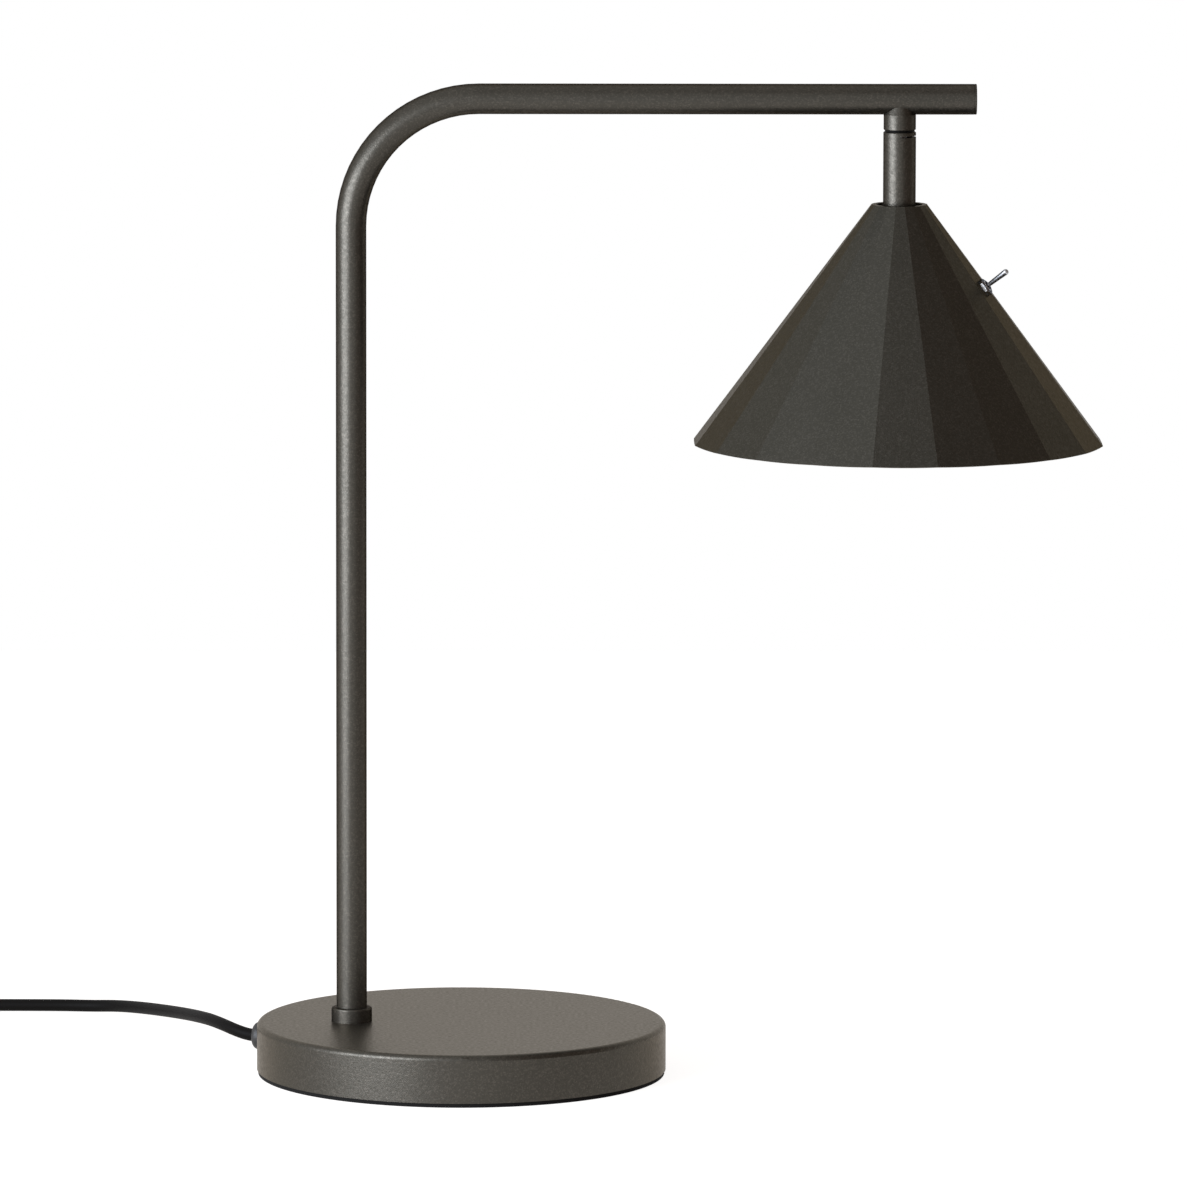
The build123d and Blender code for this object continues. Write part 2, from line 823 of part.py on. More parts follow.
with BuildPart() as bulb_tip:
    with Locations((neck_x, 0, bulb_top + bulb_cap_length)):
        Cone(bulb_tip_diameter / 2, contact_diameter / 2, bulb_tip_height, align=STAND)
save(bulb_tip, "bulb_tip")


def bulb_half(skin):
    """Half outline of the bulb, a ball that runs into its neck at 45 degrees, inside a skin."""
    radius = bulb_diameter / 2 - skin
    neck = bulb_neck_diameter / 2 - skin
    shoulder = radius * math.sqrt(0.5)
    centre = bulb_top - bulb_length + bulb_diameter / 2
    bottom = (0, centre - radius)
    with BuildSketch() as half:
        with BuildLine():
            ThreePointArc(bottom, (radius, centre), (shoulder, centre + shoulder))
            Polyline(
                (shoulder, centre + shoulder),
                (neck, centre + 2 * shoulder - neck),
                (neck, bulb_top - skin),
                (0, bulb_top - skin),
                bottom,
            )
        make_face()
    return half.sketch


with BuildPart() as bulb_glass:
    with BuildSketch(neck_section):
        add(bulb_half(0.0))
    revolve(axis=neck_axis)
    with BuildSketch(neck_section):
        add(bulb_half(bulb_skin))
    revolve(axis=neck_axis, mode=Mode.SUBTRACT)
save(bulb_glass, "bulb_glass")

# Toggle switch in one facet of the shade
with BuildPart() as switch_body:
    with Locations(switch_seat.offset(-shade_wall)):
        Box(switch_body_width, switch_body_depth, switch_body_height, align=HANG)
    fillet(switch_body.edges().filter_by(switch_axis), switch_body_edge)
save(switch_body, "switch_body")

with BuildPart() as switch_terminals:
    with Locations(switch_seat.offset(-shade_wall - switch_body_height)):
        with GridLocations(terminal_pitch, 0, terminal_count, 1):
            Box(terminal_thickness, terminal_width, terminal_length, align=HANG)
save(switch_terminals, "switch_terminals")

with BuildPart() as switch_bushing:
    with Locations(switch_seat.offset(-shade_wall)):
        ring(bushing_diameter, bushing_bore, shade_wall + bushing_height)
    bushing_rim = switch_bushing.edges().group_by(switch_axis)[-1].sort_by(SortBy.RADIUS)[-1]
    chamfer(bushing_rim, bushing_edge)
    with Locations(pivot_plane):
        Cylinder(pivot_pin_diameter / 2 + thread_clearance, 2 * bushing_diameter, mode=Mode.SUBTRACT)
save(switch_bushing, "switch_bushing")

with BuildPart() as switch_washer:
    with Locations(switch_seat):
        ring(
            switch_washer_diameter,
            bushing_diameter + 2 * running_clearance,
            switch_washer_thickness,
        )
save(switch_washer, "switch_washer")

switch_nut = hexagon_nut(
    switch_seat.offset(switch_washer_thickness),
    switch_nut_across,
    bushing_diameter + 2 * thread_clearance,
    switch_nut_height,
)
save(switch_nut, "switch_nut")

with BuildPart() as pivot_pin:
    with Locations(pivot_plane):
        Cylinder(pivot_pin_diameter / 2, bushing_diameter - 2 * running_clearance)
save(pivot_pin, "pivot_pin")

with BuildPart() as switch_lever:
    with Locations(lever_plane):
        Sphere(lever_ball_diameter / 2)
        Cone(
            lever_root_diameter / 2,
            lever_tip_diameter / 2,
            lever_length - lever_tip_diameter / 2,
            align=STAND,
        )
    with Locations(lever_plane.offset(lever_length - lever_tip_diameter / 2)):
        Sphere(lever_tip_diameter / 2)
    with Locations(pivot_plane):
        Cylinder(
            pivot_pin_diameter / 2 + running_clearance,
            2 * lever_ball_diameter,
            mode=Mode.SUBTRACT,
        )
save(switch_lever, "switch_lever")

with BuildPart() as switch_lead:
    with BuildLine() as lead_path:
        FilletPolyline(*lead_points, radius=bend_radii(lead_points))
    with BuildSketch(Plane(origin=lead_points[0], z_dir=switch_seat.y_dir)):
        Circle(switch_lead_diameter / 2)
    sweep(path=lead_path.line)
save(switch_lead, "switch_lead")

# Wiring inside the base, the tube and the neck
with BuildPart() as terminal_block:
    with Locations(wiring_spot(block_along, 0, plate_top)):
        Box(block_length, block_width, block_height, align=STAND)
    with Locations(wiring_spot(block_along - block_screw_offset, 0, plate_top + block_height)):
        CounterBoreHole(
            radius=block_screw_diameter / 2 + hole_clearance,
            counter_bore_radius=block_screw_head / 2 + hole_clearance,
            counter_bore_depth=block_screw_sink,
            depth=block_height,
        )
    with Locations(*terminal_screw_spots):
        Hole(terminal_screw_diameter / 2 + thread_clearance, depth=terminal_screw_length)
save(terminal_block, "terminal_block")

with BuildPart() as block_screw:
    with Locations(wiring_spot(block_along - block_screw_offset, 0, pad_thickness)):
        Cylinder(
            block_screw_diameter / 2,
            plate_thickness + block_height - block_screw_sink,
            align=STAND,
        )
    with Locations(
        wiring_spot(block_along - block_screw_offset, 0, plate_top + block_height - block_screw_sink)
    ):
        Cylinder(block_screw_head / 2, block_screw_sink / 2, align=STAND)
save(block_screw, "block_screw")

with BuildPart() as terminal_screws:
    with Locations(*terminal_screw_spots):
        Cylinder(terminal_screw_diameter / 2, terminal_screw_length, align=HANG)
save(terminal_screws, "terminal_screws")

with BuildPart() as inner_cable:
    with BuildLine() as cable_path:
        FilletPolyline(
            cable_start,
            (stem_x, 0, cable_height),
            (stem_x, 0, arm_height),
            (neck_x, 0, arm_height),
            (neck_x, 0, cable_joint),
            radius=[cable_base_bend, bend_radius, cable_arm_bend],
        )
    with BuildSketch(Plane(origin=cable_start, z_dir=wiring_plane.y_dir)):
        Circle(cable_radius)
    sweep(path=cable_path.line)
save(inner_cable, "inner_cable")

with BuildPart() as neck_lead:
    with Locations((neck_x, 0, holder_cap_bottom)):
        Cylinder(cable_radius, cable_joint - holder_cap_bottom, align=STAND)
save(neck_lead, "neck_lead")

# Cord gland in the base wall, its nut and the end of the cord inside the base
with BuildPart() as cord_gland:
    with BuildSketch(gland_section):
        with BuildLine():
            Polyline(
                (gland_mouth / 2, base_radius + gland_reach),
                (gland_bore / 2, base_radius + gland_reach),
                (gland_bore / 2, gland_inner_end),
                (gland_thread / 2, gland_inner_end),
                (gland_thread / 2, base_radius),
                (gland_diameter / 2, base_radius),
                (gland_diameter / 2, base_radius + gland_rim),
            )
            TangentArc(
                (gland_diameter / 2, base_radius + gland_rim),
                (gland_mouth / 2, base_radius + gland_reach),
                tangent=(0, 1),
            )
        make_face()
    revolve(axis=gland_axis)
save(cord_gland, "cord_gland")

gland_nut = hexagon_nut(
    gland_plane.offset(gland_nut_seat - gland_nut_height),
    gland_nut_across,
    gland_thread + 2 * thread_clearance,
    gland_nut_height,
)
save(gland_nut, "gland_nut")

with BuildPart() as cord_tail:
    with Locations(gland_plane.offset(block_along + block_length / 2)):
        Cylinder(cord_radius, base_radius + gland_reach - block_along - block_length / 2, align=STAND)
save(cord_tail, "cord_tail")

# Mains cord on the table: the run from the gland, the coil of the spare length and the lead
cord_run = cord_tube(cord_points, "cord_run")
save(cord_run, "cord_run")


def coil_place(along, across, height):
    """A point of the coil, counted from its centre towards its start and along its travel there."""
    return (coil_x - across, coil_y - along, height)


with BuildPart() as cord_coil:
    with BuildLine() as coil_path:
        Line(cord_points[-1], coil_place(coil_radius, 0, cord_height))
        place = coil_radius
        side = 1
        level = cord_height
        for half_turn in range(4 * coil_turns):
            steps_in = 2 * coil_turns - abs(half_turn - 2 * coil_turns)
            radius = coil_radius - steps_in * coil_pitch / 2
            middle = place - side * radius
            opposite = middle - side * radius
            if half_turn == 2 * coil_turns:
                # The climb turns a quarter twice, on circles that lean with the rise.
                lean = math.hypot(radius, coil_pitch / 2)
                half = math.sqrt(0.5)
                crest = level + coil_pitch / 2
                quarters = (
                    (
                        coil_place(place, 0, level),
                        coil_place(
                            middle + side * radius * half,
                            side * lean * half,
                            crest - coil_pitch / 2 * half,
                        ),
                        coil_place(middle, side * lean, crest),
                    ),
                    (
                        coil_place(middle, side * lean, crest),
                        coil_place(
                            middle - side * radius * half,
                            side * lean * half,
                            crest + coil_pitch / 2 * half,
                        ),
                        coil_place(opposite, 0, level + coil_pitch),
                    ),
                )
                for quarter in quarters:
                    ThreePointArc(*quarter)
                level += coil_pitch
            else:
                ThreePointArc(
                    coil_place(place, 0, level),
                    coil_place(middle, side * radius, level),
                    coil_place(opposite, 0, level),
                )
            place = opposite
            side = -side
        coil_exit = coil_place(place, 0, level)
        coil_end = coil_place(place, cord_diameter, level)
        Line(coil_exit, coil_end)
    with BuildSketch(Plane(origin=cord_points[-1], x_dir=UP, z_dir=(-1, 0, 0))) as coil_section:
        RegularPolygon(cord_radius, coil_sides, major_radius=False, rotation=180 / coil_sides)
    sweep(path=coil_path.line)
save(cord_coil, "cord_coil")

coil_wire = coil_path.wire()
coil_length = coil_wire.length
sample_count = round(coil_length / 2)
samples = [tuple(coil_wire.position_at(step / sample_count)) for step in range(sample_count + 1)]
apart = round(4 * cord_diameter / 2)
least_gap = min(
    math.dist(samples[first], samples[second])
    for first in range(len(samples))
    for second in range(first + apart, len(samples))
) - cord_diameter
print("cord_coil length", round(coil_length, 1), "least gap to itself", round(least_gap, 2))
plain_volume = coil_section.sketch.area * coil_length
print("cord_coil volume over section times length", round(cord_coil.part.volume / plain_volume, 4))

# The lead rises from the coil's top layer to the back of the plug, which lies on the table on the
# two edges of its lower notch.
plug_height = math.sqrt(plug_diameter**2 - plug_notch_width**2) / 2 + cord_floor_gap
lead_offsets = [
    (0.0, 0.0, coil_end[2]),
    (-14.0, 0.0, coil_end[2]),
    (-29.0, 0.4, 11.4),
    (-44.0, 1.0, 14.6),
    (-59.0, 1.4, 17.4),
    (-73.0, 1.5, plug_height),
    (-86.0, 1.5, plug_height),
]
plug_lead_points = [
    (coil_end[0] + east, coil_end[1] + north, height) for east, north, height in lead_offsets
]
cord_lead = cord_tube(plug_lead_points, "cord_lead")
save(cord_lead, "cord_lead")

plug_back = Vector(*plug_lead_points[-1])
plug_plane = Plane(origin=plug_back, x_dir=UP, z_dir=(-1, 0, 0))
plug_axis = Axis(plug_back, plug_plane.z_dir)
plug_section = Plane(origin=plug_back, x_dir=UP, z_dir=-plug_plane.y_dir)
plug_face_back = plug_length - plug_face_length
plug_relief_foot = plug_relief_diameter + plug_relief_taper
groove_step = plug_relief_length / (plug_groove_count + 1)
groove_places = []
for groove in range(plug_groove_count):
    along = groove_step * (groove + 1)
    width_there = plug_relief_diameter + plug_relief_taper * along / plug_relief_length
    groove_places.append((width_there / 2, along))

with BuildPart() as plug_body:
    with BuildSketch(plug_section):
        with BuildLine():
            Polyline(
                (0, plug_length),
                (0, 0),
                (plug_relief_diameter / 2, 0),
                (plug_relief_foot / 2, plug_relief_length),
                (plug_neck_diameter / 2, plug_relief_length),
            )
            ThreePointArc(
                (plug_neck_diameter / 2, plug_relief_length),
                (plug_waist_diameter / 2, (plug_relief_length + plug_face_back) / 2 + plug_edge_radius),
                (plug_diameter / 2, plug_face_back),
            )
            Polyline(
                (plug_diameter / 2, plug_face_back),
                (plug_diameter / 2, plug_length),
                (0, plug_length),
            )
        make_face()
    revolve(axis=plug_axis)
    face_rims = plug_body.edges().filter_by(lambda edge: edge.is_closed).sort_by(SortBy.RADIUS)[-2:]
    fillet(face_rims, plug_edge_radius)
    with BuildSketch(plug_section):
        with Locations(*groove_places):
            Rectangle(2 * plug_groove_depth, plug_groove_width)
    revolve(axis=plug_axis, mode=Mode.SUBTRACT)
    with Locations(plug_plane.offset(plug_length)):
        with PolarLocations(plug_diameter / 2, 2):
            Box(
                2 * plug_notch_depth,
                plug_notch_width,
                plug_length - plug_relief_length,
                align=HANG,
                mode=Mode.SUBTRACT,
            )
save(plug_body, "plug_body")

with BuildPart() as plug_pins:
    with Locations(plug_plane.offset(plug_length)):
        with GridLocations(0, plug_pin_spacing, 1, 2):
            Cylinder(plug_pin_diameter / 2, plug_pin_length - plug_pin_diameter / 2, align=STAND)
    with Locations(plug_plane.offset(plug_length + plug_pin_length - plug_pin_diameter / 2)):
        with GridLocations(0, plug_pin_spacing, 1, 2):
            Sphere(plug_pin_diameter / 2)
save(plug_pins, "plug_pins")

round_volume = cord_run.part.volume + cord_lead.part.volume + cord_tail.part.volume
cord_length = round_volume / (math.pi * cord_radius**2) + coil_length
print("cord length in all", round(cord_length))
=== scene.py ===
"""Looks of the desk lamp: the finish of every piece, the mains cord with its tie, and the studio."""

import json
import logging
import math
from collections.abc import Callable
from dataclasses import dataclass, replace
from enum import Enum

import bmesh
import bpy
from mathutils import Euler, Matrix, Vector


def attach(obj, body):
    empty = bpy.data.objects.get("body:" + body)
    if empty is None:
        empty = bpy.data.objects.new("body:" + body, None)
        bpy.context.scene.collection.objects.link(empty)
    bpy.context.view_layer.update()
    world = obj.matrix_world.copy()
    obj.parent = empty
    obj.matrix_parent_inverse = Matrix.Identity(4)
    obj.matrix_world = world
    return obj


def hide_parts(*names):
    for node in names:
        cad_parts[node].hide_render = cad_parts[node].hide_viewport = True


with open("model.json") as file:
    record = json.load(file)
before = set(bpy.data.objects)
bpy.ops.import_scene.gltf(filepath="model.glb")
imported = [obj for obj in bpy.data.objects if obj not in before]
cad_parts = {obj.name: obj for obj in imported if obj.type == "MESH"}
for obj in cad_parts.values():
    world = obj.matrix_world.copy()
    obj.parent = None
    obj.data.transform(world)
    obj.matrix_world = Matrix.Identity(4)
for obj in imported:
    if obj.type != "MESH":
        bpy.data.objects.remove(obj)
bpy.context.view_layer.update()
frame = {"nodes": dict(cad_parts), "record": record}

log = logging.getLogger("desk_lamp")

MM = 0.001
PHOTO_PIXELS = 1187
WHITE = "#ffffff"
# Along an axis, a wave texture of scale 1 repeats once in this many metres.
WAVE_PERIOD = math.pi / 10
# Order of a NURBS line that bends smoothly and keeps close to its points.
QUADRATIC = 3

Socket = bpy.types.NodeSocket
Tree = bpy.types.NodeTree
Place = tuple[float, float, float]


def linear(hex_colour: str) -> tuple[float, float, float, float]:
    """Turn an sRGB hex colour into linear light.

    Args:
        hex_colour: six hex digits after a hash sign.

    Returns:
        Red, green and blue in linear light, with full alpha.
    """
    channels = [int(hex_colour[start : start + 2], 16) / 255 for start in (1, 3, 5)]
    light = [c / 12.92 if c <= 0.04045 else ((c + 0.055) / 1.055) ** 2.4 for c in channels]
    return (*light, 1.0)


def add_node(tree: Tree, kind: str, settings: dict | None = None, **inputs: object) -> bpy.types.Node:
    """Add a shader node, set its properties and fill or link its inputs.

    Args:
        tree: the node tree that takes the node.
        kind: the node's type, without the leading ShaderNode.
        settings: properties of the node itself.
        inputs: socket values, or output sockets to link from; an underscore stands for a space, and an n
            with a number for the socket at that place.

    Returns:
        The new node.
    """
    node = tree.nodes.new("ShaderNode" + kind)
    for name, value in (settings or {}).items():
        setattr(node, name, value)
    for name, value in inputs.items():
        key = name.replace("_", " ")
        socket = node.inputs[int(key[1:])] if key[0] == "n" and key[1:].isdigit() else node.inputs[key]
        if isinstance(value, Socket):
            tree.links.new(value, socket)
        else:
            socket.default_value = value
    return node


def new_material(name: str) -> tuple[bpy.types.Material, Tree, Socket]:
    """Make an empty node material.

    Args:
        name: the material's name.

    Returns:
        The material, its node tree and the surface socket of its output.
    """
    material = bpy.data.materials.new(name)
    material.use_nodes = True
    material.node_tree.nodes.clear()
    output = add_node(material.node_tree, "OutputMaterial")
    return material, material.node_tree, output.inputs["Surface"]


def per_metre(size_mm: float) -> float:
    """Texture scale that repeats once in a size in millimetres."""
    return 1.0 / (size_mm * MM)


@dataclass(frozen=True)
class Finish:
    """A real material: its colour, how it shines and the grain of its surface.

    The colour runs in soft patches between the two that are given. On a metal, a darker tint dims the shine
    at a low angle.
    """

    name: str
    colour: str
    shade_colour: str
    roughness: float
    metallic: float
    grain_mm: float
    grain_height_mm: float
    grain_detail: float = 3.0
    patch_mm: float = 30.0
    patch_detail: float = 2.0
    roughness_spread: float = 0.06
    specular: float = 0.5
    tint: str = WHITE

    def build(self) -> bpy.types.Material:
        """Build the node material.

        Returns:
            The material, with colour in soft patches and a fine grain in its bump and roughness.
        """
        material, tree, surface = new_material(self.name)
        place = add_node(tree, "TexCoord").outputs["Object"]
        grain = add_node(
            tree,
            "TexNoise",
            Vector=place,
            Scale=per_metre(self.grain_mm),
            Detail=self.grain_detail,
        )
        patch = add_node(
            tree,
            "TexNoise",
            Vector=place,
            Scale=per_metre(self.patch_mm),
            Detail=self.patch_detail,
        )
        colour = add_node(
            tree,
            "Mix",
            {"data_type": "RGBA"},
            n0=patch.outputs["Fac"],
            n6=linear(self.shade_colour),
            n7=linear(self.colour),
        )
        shine = add_node(
            tree,
            "MapRange",
            Value=grain.outputs["Fac"],
            To_Min=self.roughness - self.roughness_spread,
            To_Max=self.roughness + self.roughness_spread,
        )
        bump = add_node(
            tree,
            "Bump",
            Height=grain.outputs["Fac"],
            Strength=1.0,
            Distance=self.grain_height_mm * MM,
        )
        skin = add_node(
            tree,
            "BsdfPrincipled",
            Base_Color=colour.outputs[2],
            Roughness=shine.outputs["Result"],
            Metallic=self.metallic,
            Specular_IOR_Level=self.specular,
            Specular_Tint=linear(self.tint),
            Normal=bump.outputs["Normal"],
        )
        tree.links.new(skin.outputs["BSDF"], surface)
        return material


@dataclass(frozen=True)
class PowderCoat(Finish):
    """Textured metallic powder coat: a pebbled skin whose fine grains glint where the light strikes, with
    lighter flakes in its colour that are painted glints.
    """

    grain_detail: float = 2.0
    glint_mm: float = 0.6
    glint_height_mm: float = 0.03
    flake_rarity: float = 3.0
    patch_share: float = 0.2
    pebble_low: float = 0.3
    pebble_high: float = 0.7

    def build(self) -> bpy.types.Material:
        """Build the node material.

        Returns:
            The material, a dark metallic base with painted glints in lighter flakes and soft patches of
            tone, under a pebbled bump with finer grains on it.
        """
        material, tree, surface = new_material(self.name)
        place = add_node(tree, "TexCoord").outputs["Object"]
        pebble = add_node(
            tree,
            "TexNoise",
            Vector=place,
            Scale=per_metre(self.grain_mm),
            Detail=self.grain_detail,
        )
        patch = add_node(
            tree,
            "TexNoise",
            Vector=place,
            Scale=per_metre(self.patch_mm),
            Detail=self.patch_detail,
        )
        glints = add_node(tree, "TexVoronoi", Vector=place, Scale=per_metre(self.glint_mm))
        # Lighter flakes where the Voronoi cells are brightest: painted glints in the coat's colour, mixed
        # below with its soft patches of real tone.
        cell = add_node(tree, "SeparateColor", Color=glints.outputs["Color"])
        painted_glint_flake = add_node(tree, "Math", {"operation": "POWER"}, n0=cell.outputs["Red"], n1=self.flake_rarity)
        painted_glint_and_patch = add_node(
            tree,
            "Mix",
            {"data_type": "FLOAT"},
            n0=self.patch_share,
            n2=painted_glint_flake.outputs[0],
            n3=patch.outputs["Fac"],
        )
        colour = add_node(
            tree,
            "Mix",
            {"data_type": "RGBA"},
            n0=painted_glint_and_patch.outputs[0],
            n6=linear(self.shade_colour),
            n7=linear(self.colour),
        )
        shine = add_node(
            tree,
            "MapRange",
            Value=pebble.outputs["Fac"],
            From_Min=self.pebble_low,
            From_Max=self.pebble_high,
            To_Min=self.roughness - self.roughness_spread,
            To_Max=self.roughness + self.roughness_spread,
        )
        skin_bump = add_node(
            tree,
            "Bump",
            Height=pebble.outputs["Fac"],
            Strength=1.0,
            Distance=self.grain_height_mm * MM,
        )
        bump = add_node(
            tree,
            "Bump",
            Height=glints.outputs["Distance"],
            Strength=1.0,
            Distance=self.glint_height_mm * MM,
            Normal=skin_bump.outputs["Normal"],
        )
        skin = add_node(
            tree,
            "BsdfPrincipled",
            Base_Color=colour.outputs[2],
            Roughness=shine.outputs["Result"],
            Metallic=self.metallic,
            Specular_IOR_Level=self.specular,
            Specular_Tint=linear(self.tint),
            Normal=bump.outputs["Normal"],
        )
        tree.links.new(skin.outputs["BSDF"], surface)
        return material


@dataclass(frozen=True)
class WovenStrap(Finish):
    """Plain-woven webbing: threads that pass over and under each other along and across the strap."""

    def build(self) -> bpy.types.Material:
        """Build the node material.

        Returns:
            The material, with the threads in its colour and its bump.
        """
        material, tree, surface = new_material(self.name)
        place = add_node(tree, "TexCoord").outputs["Object"]
        scale = WAVE_PERIOD * per_metre(self.grain_mm)
        warp = add_node(tree, "TexWave", {"bands_direction": "DIAGONAL"}, Vector=place, Scale=scale)
        weft = add_node(tree, "TexWave", {"bands_direction": "Y"}, Vector=place, Scale=scale)
        weave = add_node(
            tree,
            "Math",
            {"operation": "MULTIPLY"},
            n0=warp.outputs["Fac"],
            n1=weft.outputs["Fac"],
        )
        colour = add_node(
            tree,
            "Mix",
            {"data_type": "RGBA"},
            n0=weave.outputs[0],
            n6=linear(self.shade_colour),
            n7=linear(self.colour),
        )
        bump = add_node(
            tree,
            "Bump",
            Height=weave.outputs[0],
            Strength=1.0,
            Distance=self.grain_height_mm * MM,
        )
        skin = add_node(
            tree,
            "BsdfPrincipled",
            Base_Color=colour.outputs[2],
            Roughness=self.roughness,
            Specular_IOR_Level=self.specular,
            Normal=bump.outputs["Normal"],
        )
        tree.links.new(skin.outputs["BSDF"], surface)
        return material


# Dark bronze polyester powder coat, sprayed and baked: a satin metallic skin with a fine pebble. The
# grains are a few tenths of a millimetre on the real coat and are drawn coarser, so that they show at
# this size.
BRONZE_COAT = PowderCoat(
    name="bronze_powder_coat",
    colour="#54504a",
    shade_colour="#42403b",
    roughness=0.38,
    metallic=0.9,
    grain_mm=1.6,
    grain_height_mm=0.055,
    specular=0.3,
    tint="#8a8279",
)
# The same coat on the base, drawn to shine more at a low angle than the tubes: a painted reflection of a
# bright backdrop behind the lamp.
BASE_COAT_PAINTED_REFLECTION = replace(BRONZE_COAT, name="bronze_powder_coat_base_painted_reflection", tint="#e6dfd6")
# The same coat on the shade, a trace darker and greener in tone. Its shine at a low angle is a painted
# reflection, drawn less than the base's and more than the tubes'.
SHADE_COAT_PAINTED_REFLECTION = replace(
    BRONZE_COAT,
    name="bronze_powder_coat_shade_painted_reflection",
    colour="#52504b",
    shade_colour="#41403b",
    tint="#aaa298",
)
# Closed-cell foam rubber sheet: dead black with a fine open grain.
PAD_RUBBER = Finish(
    name="foam_rubber",
    colour="#191817",
    shade_colour="#121111",
    roughness=0.9,
    metallic=0.0,
    grain_mm=0.7,
    grain_height_mm=0.05,
    specular=0.15,
)
# Sand-cast iron: dark grey, rough and pitted.
CAST_IRON = Finish(
    name="cast_iron",
    colour="#4c4a48",
    shade_colour="#3a3836",
    roughness=0.7,
    metallic=0.7,
    grain_mm=2.4,
    grain_height_mm=0.2,
)
# Bright zinc plate on turned steel: pale, cool and satin.
ZINC_STEEL = Finish(
    name="zinc_plated_steel",
    colour="#b9bbbd",
    shade_colour="#a5a8ab",
    roughness=0.36,
    metallic=1.0,
    grain_mm=0.6,
    grain_height_mm=0.006,
)
# Natural nylon: milky white with a soft moulded sheen.
WHITE_NYLON = Finish(
    name="natural_nylon",
    colour="#e2dfd6",
    shade_colour="#d8d4c8",
    roughness=0.48,
    metallic=0.0,
    grain_mm=1.2,
    grain_height_mm=0.01,
)
# Bare pressed brass: warm yellow with a slightly dulled sheen.
CONTACT_BRASS = Finish(
    name="pressed_brass",
    colour="#c9a45c",
    shade_colour="#b18d48",
    roughness=0.32,
    metallic=1.0,
    grain_mm=0.9,
    grain_height_mm=0.008,
)
# White flexible sheath of the inner wiring.
WIRE_SHEATH = Finish(
    name="white_wire_sheath",
    colour="#dcd9d2",
    shade_colour="#d1cdc4",
    roughness=0.5,
    metallic=0.0,
    grain_mm=1.5,
    grain_height_mm=0.01,
)
# Spark-eroded black nylon mouldings: fine matt grain.
BLACK_NYLON = Finish(
    name="black_nylon",
    colour="#232221",
    shade_colour="#1c1b1a",
    roughness=0.52,
    metallic=0.0,
    grain_mm=0.5,
    grain_height_mm=0.03,
)
# Punched black nylon sheet of the swivel's washer, drawn darker and duller than black nylon: painted shade,
# so that the seam reads as a dark groove.
WASHER_NYLON_PAINTED_SHADE = replace(
    BLACK_NYLON,
    name="black_nylon_sheet_painted_shade",
    colour="#0b0a0a",
    shade_colour="#080807",
    specular=0.05,
)
# Extruded black sheath of the mains cord: satin, almost smooth.
CORD_SHEATH = Finish(
    name="black_cord_sheath",
    colour="#141211",
    shade_colour="#0f0e0d",
    roughness=0.55,
    metallic=0.0,
    grain_mm=0.8,
    grain_height_mm=0.008,
    specular=0.05,
)
# Nickel plate on brass: warm white metal.
PIN_NICKEL = Finish(
    name="nickel_plated_brass",
    colour="#cfcabd",
    shade_colour="#bdb7a8",
    roughness=0.22,
    metallic=1.0,
    grain_mm=0.8,
    grain_height_mm=0.003,
)
# Pressed phenolic: black, hard and slightly glossy.
PHENOLIC = Finish(
    name="black_phenolic",
    colour="#211f1e",
    shade_colour="#191817",
    roughness=0.38,
    metallic=0.0,
    grain_mm=0.9,
    grain_height_mm=0.008,
)
# Rolled aluminium of the bulb's cap: pale and satin.
BULB_ALUMINIUM = Finish(
    name="rolled_aluminium",
    colour="#c6c7c9",
    shade_colour="#b2b4b7",
    roughness=0.3,
    metallic=1.0,
    grain_mm=0.6,
    grain_height_mm=0.006,
)
# Opal glass: white, softly glossy.
OPAL_GLASS = Finish(
    name="opal_glass",
    colour="#efede6",
    shade_colour="#e8e5dc",
    roughness=0.2,
    metallic=0.0,
    grain_mm=4.0,
    grain_height_mm=0.002,
)
# Moulded thermoset of the switch's case: black, with a low gloss.
SWITCH_CASE = Finish(
    name="switch_thermoset",
    colour="#262524",
    shade_colour="#1e1d1c",
    roughness=0.35,
    metallic=0.0,
    grain_mm=0.6,
    grain_height_mm=0.01,
)
# Bright nickel and chrome plate of the switch: near a mirror, with dark edges.
SWITCH_CHROME = Finish(
    name="switch_chrome",
    colour="#b9babd",
    shade_colour="#abadb0",
    roughness=0.1,
    metallic=1.0,
    grain_mm=0.5,
    grain_height_mm=0.001,
    tint="#1c1c1e",
)
# The same plate on the lever, drawn softer than it is, so that its bright stripe shows at this size.
LEVER_CHROME = replace(SWITCH_CHROME, name="lever_chrome", roughness=0.31)
# Woven nylon strap of the cord's tie: matt black, with a plain weave.
STRAP_WEAVE = WovenStrap(
    name="woven_nylon_strap",
    colour="#2a2928",
    shade_colour="#191818",
    roughness=0.75,
    metallic=0.0,
    grain_mm=0.9,
    grain_height_mm=0.12,
    specular=0.2,
)
# Nodes that have a make of their own of their slot's finish.
OWN_MAKES = {
    "base_shell": BASE_COAT_PAINTED_REFLECTION,
    "shade": SHADE_COAT_PAINTED_REFLECTION,
    "switch_lever": LEVER_CHROME,
    "friction_washer": WASHER_NYLON_PAINTED_SHADE,
}


class Slot(Enum):
    """The record's material slots and the finish that each one takes."""

    bronze_coat = BRONZE_COAT
    pad_rubber = PAD_RUBBER
    cast_ballast = CAST_IRON
    zinc_steel = ZINC_STEEL
    white_nylon = WHITE_NYLON
    contact_brass = CONTACT_BRASS
    wire_sheath = WIRE_SHEATH
    black_nylon = BLACK_NYLON
    cord_sheath = CORD_SHEATH
    pin_nickel = PIN_NICKEL
    holder_phenolic = PHENOLIC
    bulb_aluminium = BULB_ALUMINIUM
    opal_glass = OPAL_GLASS
    switch_case = SWITCH_CASE
    switch_chrome = SWITCH_CHROME


